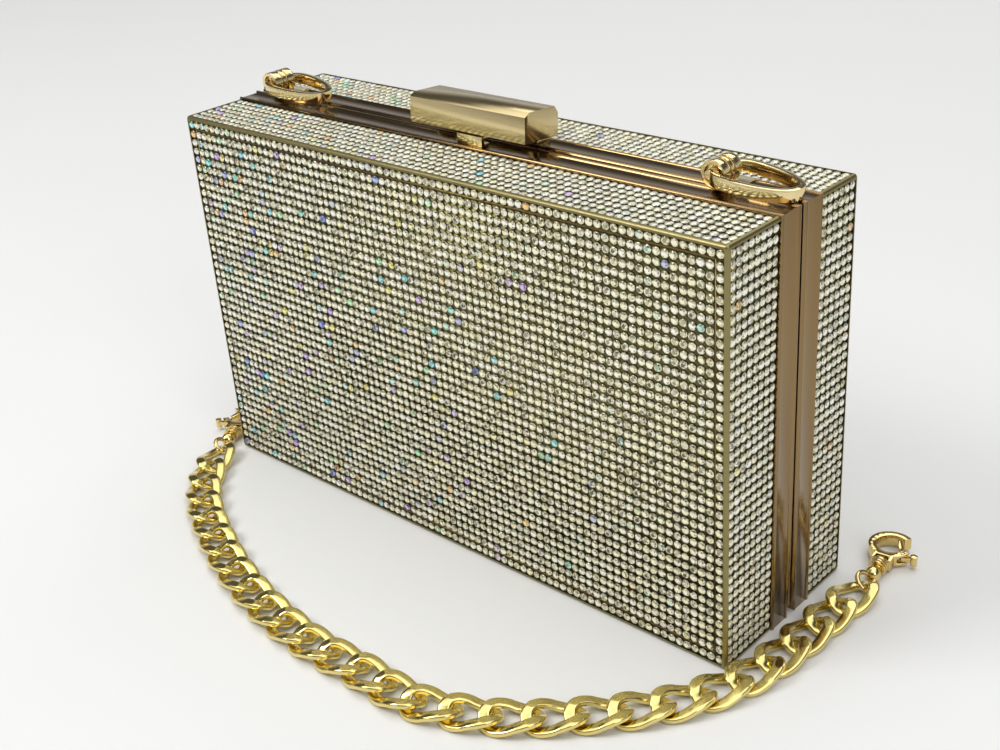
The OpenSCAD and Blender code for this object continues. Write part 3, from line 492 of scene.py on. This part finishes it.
def edge_parts(y_closed, y_open, inward):
    """Rounded edges round the closed face and along the four edges that run to the band."""
    x_end, z_low, z_high = HALF_W - EDGE, EDGE, HEIGHT - EDGE
    y_face = y_closed + inward * EDGE
    parts = []
    for z, up_z in ((z_low, -1), (z_high, 1)):
        left_end, right_end = np.array((-x_end, y_face, z)), np.array((x_end, y_face, z))
        parts.append(quarter_round(left_end, right_end, -inward * Y, up_z * Z))
        for corner, out_x in ((left_end, -1), (right_end, 1)):
            band_end = np.array((corner[0], y_open, z))
            parts.append(quarter_round(corner, band_end, out_x * X, up_z * Z))
            parts.append(corner_ball(corner))
    for x, out_x in ((-x_end, -1), (x_end, 1)):
        foot, head = np.array((x, y_face, z_low)), np.array((x, y_face, z_high))
        parts.append(quarter_round(foot, head, out_x * X, -inward * Y))
    return joined(parts)


def line_parts(y_closed, inward):
    """The bare line that sets the outer row and column of the closed face apart."""
    y_low, y_high = sorted((y_closed + inward * LINE_TOP, y_closed + inward * LINE_FOOT))
    parts = []
    row_line = EDGE + ROW_WIDTH * (1 + RIM_GAP / 2)
    end = HALF_W - row_line + LINE_HALF
    for z in (row_line, HEIGHT - row_line):
        parts.append(block((-end, y_low, z - LINE_HALF), (end, y_high, z + LINE_HALF)))
    column_line = EDGE + COLUMN_WIDTH * (1 + RIM_GAP / 2)
    foot = column_line + LINE_HALF
    for x in (-HALF_W + column_line, HALF_W - column_line):
        parts.append(block((x - LINE_HALF, y_low, foot), (x + LINE_HALF, y_high, HEIGHT - foot)))
    return joined(parts)


def bed(name, node, body, y_closed, y_open):
    """The metal under the stones of one half: its tray, its rounded edges and its bare lines."""
    inward = 1 if y_open > y_closed else -1
    tray = add_mesh(name, *tray_parts(y_closed, y_open, inward), bed_metal, body)
    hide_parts(node)
    edges_name, lines_name = name.replace("bed", "edges"), name.replace("bed", "lines")
    edges = add_mesh(edges_name, *edge_parts(y_closed, y_open, inward), edge_metal, body, SMOOTH_ANGLE)
    lines = add_mesh(lines_name, *line_parts(y_closed, inward), line_metal, body)


bed("front_stone_bed", "front_stone_cover", "front_half", Y_FRONT, Y_FRONT_BAND)
bed("rear_stone_bed", "rear_stone_cover", "rear_half", Y_REAR, Y_REAR_BAND)


# Linings
# Distance from the bag's outside, thickness, and how far the lining reaches into its half
LINING_OUT, LINING_T, LINING_OPEN = 2.9, 1.0, 17.5
# How high the satin gathers and swells over its card
GATHER, SWELL = 0.16, 0.22
# Points round each corner and along each side of a ring
ARC_POINTS, SIDE_POINTS = 7, 30
LEAST_CORNER = 0.01
CARD_CORNER, WALL_CORNER, FLOOR_CORNER = 0.05, 1.5, 2.5
# Over the hem: inset as a share of the thickness, fall below the top, and corner radius
HEM = ((0.35, 0.0, 0.8), (0.8, 0.3, 1.0))
# Inset of the wall and depth of the floor as shares of the thickness, and fall of the wall's top
WALL_INSET, FLOOR_DEPTH, WALL_FALL = 0.95, 0.9, 0.5
WALL_WAVE, WALL_WAVE_RATE = 0.06, 9
# Radius between wall and floor, and how near the floor's last ring comes to its middle
FILLET, FLOOR_END = 2.2, 0.1
WALL_RINGS, FILLET_RINGS, FLOOR_RINGS = 6, 6, 22


def rounded_loop(half_w, half_h, corner):
    """Points round a rectangle with rounded corners, with the same count whatever its size."""
    c = max(LEAST_CORNER, min(corner, half_h - LEAST_CORNER))

    def arc_point(k, degrees):
        x_sign, z_sign = ((1, 1), (-1, 1), (-1, -1), (1, -1))[k % 4]
        a = math.radians(degrees)
        return np.array((x_sign * (half_w - c) + c * math.cos(a), z_sign * (half_h - c) + c * math.sin(a)))

    points = []
    for k in range(4):
        points += [arc_point(k, 90 * k + degrees) for degrees in np.linspace(0, 90, ARC_POINTS)]
        start, end = points[-1], arc_point(k + 1, 90 * k + 90)
        points += [start + (end - start) * q for q in np.linspace(0, 1, SIDE_POINTS + 2)[1:-1]]
    return np.array(points)


def slack(x, z):
    """How far the satin stands off its card at a place, by fine gathers and broad swells."""
    gather = np.sin(x * 0.83 + 1.3 * np.sin(z * 0.21)) * np.sin(z * 0.71 + 0.4)
    swell = np.sin(x * 0.045 + 0.6) * np.sin(z * 0.06 + 1.1)
    return GATHER * gather + SWELL * swell


def lining_tray(name, node, body, y_closed, sign):
    """A satin tray glued into one half. sign is the way along Y in which it opens."""
    half_w, half_h, mid = HALF_W - LINING_OUT, HEIGHT / 2 - LINING_OUT, HEIGHT / 2

    def ring(inset, depth, corner, loose=0.0):
        x, z = rounded_loop(half_w - inset, half_h - inset, corner).T
        return np.c_[x, y_closed + sign * (depth + loose * slack(x, z)), z + mid]

    deep, wall, floor_at = LINING_OPEN - LINING_OUT, LINING_T * WALL_INSET, LINING_T * FLOOR_DEPTH
    # Up the outside and over the hem
    rings = [ring(0, 0, CARD_CORNER), ring(0, deep, CARD_CORNER)]
    rings += [ring(LINING_T * share, deep - fall, corner) for share, fall, corner in HEM]
    # Down the inside of the wall
    wall_top, wall_height = deep - WALL_FALL, deep - WALL_FALL - LINING_T - FILLET
    for q in np.linspace(0, 1, WALL_RINGS):
        inset = wall + WALL_WAVE * math.sin(q * WALL_WAVE_RATE)
        rings.append(ring(inset, wall_top - wall_height * q, WALL_CORNER))
    # Round the fillet, and over the floor to its middle
    for a in np.linspace(0, math.pi / 2, FILLET_RINGS)[1:]:
        inset, depth = wall + FILLET * (1 - math.cos(a)), floor_at + FILLET * (1 - math.sin(a))
        rings.append(ring(inset, depth, FLOOR_CORNER, math.sin(a)))
    start = wall + FILLET
    for q in np.linspace(0, 1, FLOOR_RINGS)[1:]:
        rings.append(ring(start + (half_h - FLOOR_END - start) * q, floor_at, FLOOR_CORNER, 1.0))
    tray = add_mesh(name, *sweep(rings, closed=False), lining, body, SMOOTH_ANGLE)
    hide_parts(node)


lining_tray("front_satin", "front_lining", "front_half", Y_FRONT + LINING_OUT, 1)
lining_tray("rear_satin", "rear_lining", "rear_half", Y_REAR - LINING_OUT, -1)


# Chain
LINK_COUNT = 28
# The first link of the middle run and of the right run
MIDDLE_FROM, RIGHT_FROM = 9, 19
CHAIN_WIDTHS = 1.512
LINK_PITCH = CHAIN_WIDTHS * 2 * HALF_W / LINK_COUNT
WIRE_W, WIRE_H = 2.8, 1.8
# The wire is wider than in the solids by this factor
PLUMP = 1.12
# Play along the link, room across it, and its twist in height
LINK_PLAY, LINK_ROOM, LINK_TWIST = 0.8, 6.0, 0.9
# Half sizes of the loop that the wire's middle follows
LINK_A, LINK_B = (LINK_PITCH + LINK_PLAY + WIRE_W) / 2, (LINK_ROOM + WIRE_W) / 2
LINK_C = (WIRE_H + LINK_TWIST) / 2
# Powers below 1 make the loop squarer along, across and in height, and the wire squarer too
BEND_A, BEND_B, BEND_C, BEND_WIRE = 0.85, 0.9, 0.7, 0.62
# Half the height at which the links are ground flat, and their height off the floor
GROUND, FLOOR_GAP = 2.08, 0.02
LINK_RINGS, WIRE_SIDES, LINK_SMOOTH_ANGLE = 96, 24, 24
# How far to either side the wire's direction is taken
LOOK_AHEAD = 0.12
# The chain's way over the floor, in widths of the bag from the foot of its front
ROUTE_SHARES = np.array([[-0.502, -0.043], [-0.458, -0.108], [-0.39, -0.166], [-0.3, -0.213],
                         [-0.2, -0.254], [-0.1, -0.282], [0, -0.298], [0.08, -0.3], [0.14, -0.296],
                         [0.19, -0.301], [0.245, -0.294], [0.335, -0.254], [0.415, -0.187],
                         [0.488, -0.105], [0.534, -0.01], [0.547, 0.092], [0.55, 0.172], [0.555, 0.242],
                         [0.562, 0.322], [0.58, 0.462]])
ROUTE = ROUTE_SHARES * 2 * HALF_W + [0, Y_FRONT]
ROUTE_STEPS = 12


def on_route(t):
    """A place on the smooth curve through the route's points."""
    n = len(ROUTE) - 1
    i = min(int(t), n - 1)
    u = t - i
    a, b, c, d = ROUTE[max(i - 1, 0)], ROUTE[i], ROUTE[i + 1], ROUTE[min(i + 2, n)]
    return (2 * b + (c - a) * u + (2 * a - 5 * b + 4 * c - d) * u * u + (3 * b - 3 * c + d - a) * u ** 3) / 2


def link_joints():
    """The places along the route where one link meets the next."""
    path = np.array([on_route(k / ROUTE_STEPS) for k in range(ROUTE_STEPS * (len(ROUTE) - 1) + 1)])
    run = np.r_[0, np.cumsum(np.linalg.norm(np.diff(path, axis=0), axis=1))]
    at = np.arange(LINK_COUNT + 1) * LINK_PITCH
    return np.c_[np.interp(at, run, path[:, 0]), np.interp(at, run, path[:, 1])]


def bent(value, power):
    """A power that keeps the sign."""
    return math.copysign(abs(value) ** power, value)


def link_point(t):
    """A point of the twisted loop that a link's wire follows."""
    return np.array((LINK_A * bent(math.cos(t), BEND_A), LINK_B * bent(math.sin(t), BEND_B),
                     -LINK_C * bent(math.sin(2 * t), BEND_C)))


def link_mesh():
    """A curb link of squarish wire, ground flat above and below."""
    rings = []
    for k in range(LINK_RINGS):
        t = math.tau * (k + 0.5) / LINK_RINGS
        mid = link_point(t)
        ahead = link_point(t + LOOK_AHEAD) - link_point(t - LOOK_AHEAD)
        out = unit(np.array((ahead[1], -ahead[0], 0.0)))
        ring = []
        for q in range(WIRE_SIDES):
            a = math.tau * (q + 0.5) / WIRE_SIDES
            p = mid + out * bent(math.cos(a), BEND_WIRE) * PLUMP * WIRE_W / 2
            p[2] += bent(math.sin(a), BEND_WIRE) * WIRE_H / 2
            p[2] = max(-GROUND, min(GROUND, p[2]))
            ring.append(p)
        rings.append(np.array(ring))
    return sweep(rings)


def chain():
    """All the links, each on its run, in place of the solids' links."""
    link_points, link_faces = link_mesh()
    joints = link_joints()
    height = LINK_C + WIRE_H / 2 + FLOOR_GAP
    for i in range(LINK_COUNT):
        start, end = joints[i], joints[i + 1]
        heading = math.atan2(end[1] - start[1], end[0] - start[0])
        c, s = math.cos(heading), math.sin(heading)
        points = link_points @ np.array([[c, s, 0], [-s, c, 0], [0, 0, 1]]) + [*(start + end) / 2, height]
        body = "chain_left" if i < MIDDLE_FROM else "chain_middle" if i < RIGHT_FROM else "chain_right"
        link = add_mesh(f"curb_link_{i + 1:02d}", points, link_faces, chain_gold, body, LINK_SMOOTH_ANGLE)
        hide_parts(f"chain_link_{i + 1:02d}")


chain()

# CAD nodes that keep their shape, with the width of their soft edges in millimetres
for name, mat, bevel in (
        ("front_shell", shell_brass, 0.1), ("rear_shell", shell_brass, 0.1),
        ("front_frame", frame_metal, 0.12), ("rear_frame", frame_metal, 0.12),
        ("closing_lip", frame_metal, 0.1), ("front_hinge_leaf", hinge_brass, 0.1),
        ("rear_hinge_leaf", hinge_brass, 0.1), ("front_hinge_rivets", ring_gold, 0.1),
        ("rear_hinge_rivets", ring_gold, 0.1), ("hinge_pin", steel, 0.1), ("strike_tab", ring_gold, 0.2),
        ("clasp_bracket", clasp_metal, 0.15), ("clasp_pin", steel, 0), ("clasp_spring", steel, 0),
        ("clasp_bar", clasp_metal, 0.3), ("left_ring_lug", ring_gold, 0.15),
        ("right_ring_lug", ring_gold, 0.15), ("left_ring", ring_gold, 0.4), ("right_ring", ring_gold, 0.4)):
    dress(name, mat, bevel)
for end in ("left", "right"):
    dress(f"{end}_swivel_eye", hook_gold, 0.1)
    dress(f"{end}_hook_body", hook_gold, 0.3)
    dress(f"{end}_hook_gate", hook_gold, 0.2)
    dress(f"{end}_gate_pin", steel, 0.1)

# Floor and light
FLOOR_SIZE = 24
bpy.ops.mesh.primitive_plane_add(size=FLOOR_SIZE, location=(0, 0, 0))
floor = bpy.context.object
floor.name = "floor"
floor.data.materials.append(floor_paint)

# How high the sky is looked at, from 0 at the horizon to 1 overhead, and how bright it is there
SKY = ((0, 0.36), (0.22, 0.19), (0.40, 0.045), (0.68, 0.05), (0.80, 0.72), (1, 1))
SKY_STRENGTH = 1.8


def sky():
    """A soft studio that is bright overhead, dark halfway up its walls and paler at their foot."""
    world = bpy.data.worlds.new("studio")
    scene.world = world
    world.use_nodes = True
    tree = world.node_tree
    background = tree.nodes["Background"]
    coord = tree.nodes.new("ShaderNodeTexCoord")
    split = tree.nodes.new("ShaderNodeSeparateXYZ")
    ramp = tree.nodes.new("ShaderNodeValToRGB")
    stops = ramp.color_ramp.elements
    for stop, (_, grey) in zip(stops, (SKY[0], SKY[-1])):
        stop.color = (grey, grey, grey, 1)
    for height, grey in SKY[1:-1]:
        stops.new(height).color = (grey, grey, grey, 1)
    tree.links.new(coord.outputs["Generated"], split.inputs["Vector"])
    tree.links.new(split.outputs["Z"], ramp.inputs["Fac"])
    tree.links.new(ramp.outputs["Color"], background.inputs["Color"])
    background.inputs["Strength"].default_value = SKY_STRENGTH


def lamp(name, place, target, size, power):
    """A rectangular lamp that looks from its place at a target."""
    data = bpy.data.lights.new(name, "AREA")
    data.shape = "RECTANGLE"
    data.size, data.size_y = size
    data.energy = power
    light = bpy.data.objects.new(name, data)
    light.location = place
    light.rotation_euler = (Vector(target) - Vector(place)).to_track_quat("-Z", "Y").to_euler()
    scene.collection.objects.link(light)


sky()
lamp("key", (-0.55, -0.75, 0.95), (0, 0, 0.05), (0.5, 0.5), 6.5)
lamp("fill", (1.05, -0.40, 0.75), (0, 0, 0.05), (0.5, 0.7), 3.0)
lamp("back", (-0.15, 1.3, 1.3), (-0.1, 0.35, 0), (1.2, 0.6), 4.0)
